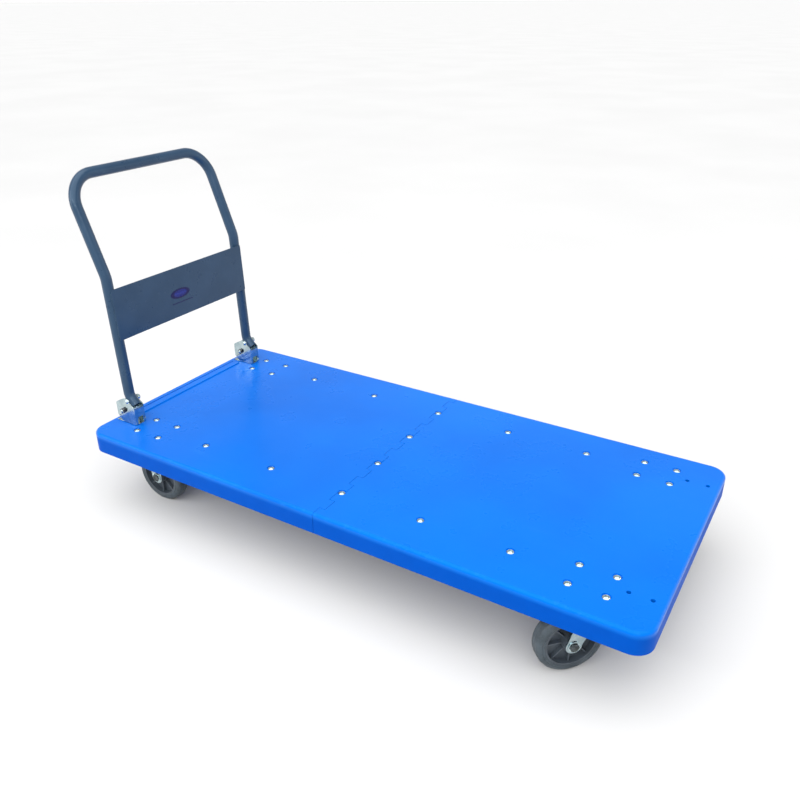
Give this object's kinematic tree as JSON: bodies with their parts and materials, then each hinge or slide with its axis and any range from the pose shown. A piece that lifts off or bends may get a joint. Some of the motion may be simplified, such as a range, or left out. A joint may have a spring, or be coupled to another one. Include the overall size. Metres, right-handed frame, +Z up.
{
  "type": "folding platform cart",
  "caption": "Long flat platform cart: toothed two-piece plastic deck, folding tube handle with sprung locks, fixed casters at the handle and swivel casters at the far end.",
  "frame": {"origin": "floor level, under the middle of the overall length and width, handle up", "axes": "+X along the deck away from the handle, +Y to the left of someone pushing, +Z up"},
  "size_m": [1.5518, 0.672, 0.87],
  "materials": {
    "deck_plastic": "glossy moulded polypropylene",
    "handle_paint": "grey-blue gloss powder coat",
    "label_film": "plain printed oval film",
    "tread_rubber": "dark grey rubber",
    "wheel_plastic": "dark moulded nylon",
    "bush_nylon": "plain nylon",
    "spring_steel": "dark oiled wire",
    "frame_paint": "black paint",
    "ball_steel": "bright steel",
    "zinc": "bright zinc plate"
  },
  "bodies": {
    "deck": {"bracket_bolts": "zinc", "bracket_left": "zinc", "bracket_nuts": "zinc", "bracket_right": "zinc", "caster_bolts": "zinc", "caster_nuts": "zinc", "cross_member": "frame_paint", "deck_half_front": "deck_plastic", "deck_half_rear": "deck_plastic", "fixed_fork_left": "zinc", "fixed_fork_right": "zinc", "king_pin_left": "zinc", "king_pin_right": "zinc", "lock_pin_left": "zinc", "lock_pin_right": "zinc", "lock_spring_left": "spring_steel", "lock_spring_right": "spring_steel", "lower_race_left": "zinc", "lower_race_right": "zinc", "pivot_bolts": "zinc", "pivot_nuts": "zinc", "rail_bolts": "zinc", "rail_left": "frame_paint", "rail_nuts": "zinc", "rail_right": "frame_paint", "rear_axle_left": "zinc", "rear_axle_right": "zinc", "seam_bolts": "zinc", "seam_nuts": "zinc", "swivel_balls_left": "ball_steel", "swivel_balls_right": "ball_steel", "swivel_plate_left": "zinc", "swivel_plate_right": "zinc"},
    "handle": {"handle_tube": "handle_paint", "handle_plate": "handle_paint", "handle_label": "label_film", "pivot_bushes": "zinc"},
    "lock_lever_right": {"lock_lever_right": "zinc"},
    "lock_lever_left": {"lock_lever_left": "zinc"},
    "wheel_rear_right": {"tread_rear_right": "tread_rubber", "wheel_core_rear_right": "wheel_plastic", "wheel_bush_rear_right": "bush_nylon"},
    "wheel_rear_left": {"tread_rear_left": "tread_rubber", "wheel_core_rear_left": "wheel_plastic", "wheel_bush_rear_left": "bush_nylon"},
    "swivel_right": {"swivel_fork_right": "zinc", "front_axle_right": "zinc"},
    "wheel_front_right": {"tread_front_right": "tread_rubber", "wheel_core_front_right": "wheel_plastic", "wheel_bush_front_right": "bush_nylon"},
    "swivel_left": {"swivel_fork_left": "zinc", "front_axle_left": "zinc"},
    "wheel_front_left": {"tread_front_left": "tread_rubber", "wheel_core_front_left": "wheel_plastic", "wheel_bush_front_left": "bush_nylon"}
  },
  "joints": [
    {"name": "handle_fold", "type": "hinge", "parent": "deck", "child": "handle", "pos_m": [-0.65731, 0, 0.28208], "axis": [0, 1, 0], "range_deg": [0, 99]},
    {"name": "lock_release_right", "type": "hinge", "parent": "deck", "child": "lock_lever_right", "pos_m": [-0.67411, -0.2345, 0.253], "axis": [0, 1, 0], "range_deg": [0, 25], "stiffness_Nm_per_rad": 0.35, "springref_deg": -14.32},
    {"name": "lock_release_left", "type": "hinge", "parent": "deck", "child": "lock_lever_left", "pos_m": [-0.67411, 0.2345, 0.253], "axis": [0, 1, 0], "range_deg": [0, 25], "stiffness_Nm_per_rad": 0.35, "springref_deg": -14.32},
    {"name": "wheel_spin_rear_right", "type": "hinge", "parent": "deck", "child": "wheel_rear_right", "pos_m": [-0.57711, -0.232, 0.075], "axis": [0, 1, 0], "continuous": true},
    {"name": "wheel_spin_rear_left", "type": "hinge", "parent": "deck", "child": "wheel_rear_left", "pos_m": [-0.57711, 0.232, 0.075], "axis": [0, 1, 0], "continuous": true},
    {"name": "swivel_turn_right", "type": "hinge", "parent": "deck", "child": "swivel_right", "pos_m": [0.62889, -0.232, 0.165], "axis": [0, 0, 1], "continuous": true},
    {"name": "wheel_spin_front_right", "type": "hinge", "parent": "swivel_right", "child": "wheel_front_right", "pos_m": [0.60161, -0.25986, 0.075], "axis": [-0.7145, 0.6997, 0], "continuous": true},
    {"name": "swivel_turn_left", "type": "hinge", "parent": "deck", "child": "swivel_left", "pos_m": [0.62889, 0.232, 0.165], "axis": [0, 0, 1], "continuous": true},
    {"name": "wheel_spin_front_left", "type": "hinge", "parent": "swivel_left", "child": "wheel_front_left", "pos_m": [0.58989, 0.232, 0.075], "axis": [0, 1, 0], "continuous": true}
  ]
}
